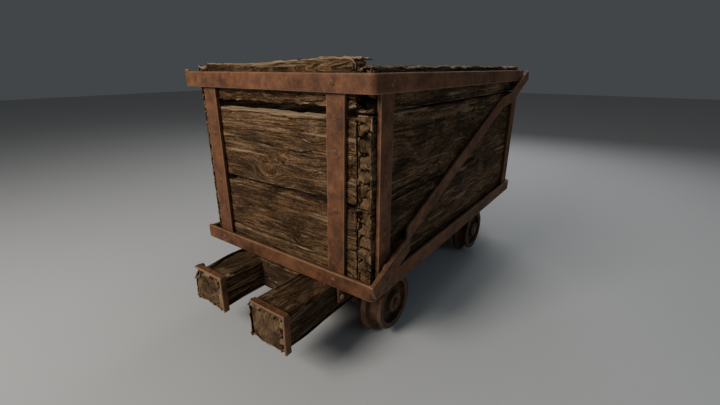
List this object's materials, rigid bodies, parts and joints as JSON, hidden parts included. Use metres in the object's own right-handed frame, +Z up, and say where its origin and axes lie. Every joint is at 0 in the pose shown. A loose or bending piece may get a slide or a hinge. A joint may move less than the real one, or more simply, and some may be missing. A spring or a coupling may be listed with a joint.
{
  "type": "mine cart",
  "caption": "Weathered timber mine cart: a plank hopper bound with flat iron hoops and braces, on two sole bars with flanged cast wheels that turn with their axles.",
  "frame": {"origin": "on the floor under the wheel flanges, midway between the axles and between the rails", "axes": "+Z up, -Y to the front end with the long buffers, +X to the right side"},
  "size_m": [0.856, 1.725, 0.972],
  "materials": {
    "plank_wood": "rough sawn, weathered grey brown",
    "floor_wood": "worn, dusty",
    "bar_wood": "rough hewn, weathered",
    "strap_iron": "rusted flat bar",
    "fixing_iron": "rusted",
    "cast_iron": "rusted casting",
    "bush_bronze": "oily bronze",
    "axle_steel": "worn steel"
  },
  "bodies": {
    "root": {"front_bottom_plank": "plank_wood", "front_middle_plank": "plank_wood", "front_top_plank": "plank_wood", "rear_bottom_plank": "plank_wood", "rear_middle_plank": "plank_wood", "rear_top_plank": "plank_wood", "left_bottom_plank": "plank_wood", "left_middle_plank": "plank_wood", "left_top_plank": "plank_wood", "right_bottom_plank": "plank_wood", "right_middle_plank": "plank_wood", "right_top_plank": "plank_wood", "floor_board_1": "floor_wood", "floor_board_2": "floor_wood", "floor_board_3": "floor_wood", "floor_board_4": "floor_wood", "floor_board_5": "floor_wood", "floor_board_6": "floor_wood", "left_sole_bar": "bar_wood", "right_sole_bar": "bar_wood", "front_cross_timber": "bar_wood", "rear_cross_timber": "bar_wood", "bottom_hoop": "strap_iron", "top_hoop": "strap_iron", "front_left_strap": "strap_iron", "front_right_strap": "strap_iron", "rear_left_strap": "strap_iron", "rear_right_strap": "strap_iron", "left_front_strap": "strap_iron", "left_rear_strap": "strap_iron", "right_front_strap": "strap_iron", "right_rear_strap": "strap_iron", "left_brace": "strap_iron", "right_brace": "strap_iron", "front_left_end_iron": "strap_iron", "front_right_end_iron": "strap_iron", "rear_left_end_iron": "strap_iron", "rear_right_end_iron": "strap_iron", "front_left_bracket": "strap_iron", "front_right_bracket": "strap_iron", "rear_left_bracket": "strap_iron", "rear_right_bracket": "strap_iron", "wall_rivets": "fixing_iron", "brace_rivets": "fixing_iron", "brace_packers": "fixing_iron", "bearing_bolts": "fixing_iron", "tie_rods": "fixing_iron", "bracket_screws": "fixing_iron", "front_left_bearing_block": "cast_iron", "front_right_bearing_block": "cast_iron", "rear_left_bearing_block": "cast_iron", "rear_right_bearing_block": "cast_iron", "front_axle_bushes": "bush_bronze", "rear_axle_bushes": "bush_bronze"},
    "front_wheelset": {"front_axle": "axle_steel", "front_left_wheel": "cast_iron", "front_right_wheel": "cast_iron"},
    "rear_wheelset": {"rear_axle": "axle_steel", "rear_left_wheel": "cast_iron", "rear_right_wheel": "cast_iron"}
  },
  "joints": [
    {"name": "front_axle_turn", "type": "hinge", "parent": "root", "child": "front_wheelset", "pos_m": [0, -0.412, 0.1255], "axis": [1, 0, 0], "continuous": true},
    {"name": "rear_axle_turn", "type": "hinge", "parent": "root", "child": "rear_wheelset", "pos_m": [0, 0.412, 0.1255], "axis": [1, 0, 0], "continuous": true}
  ]
}
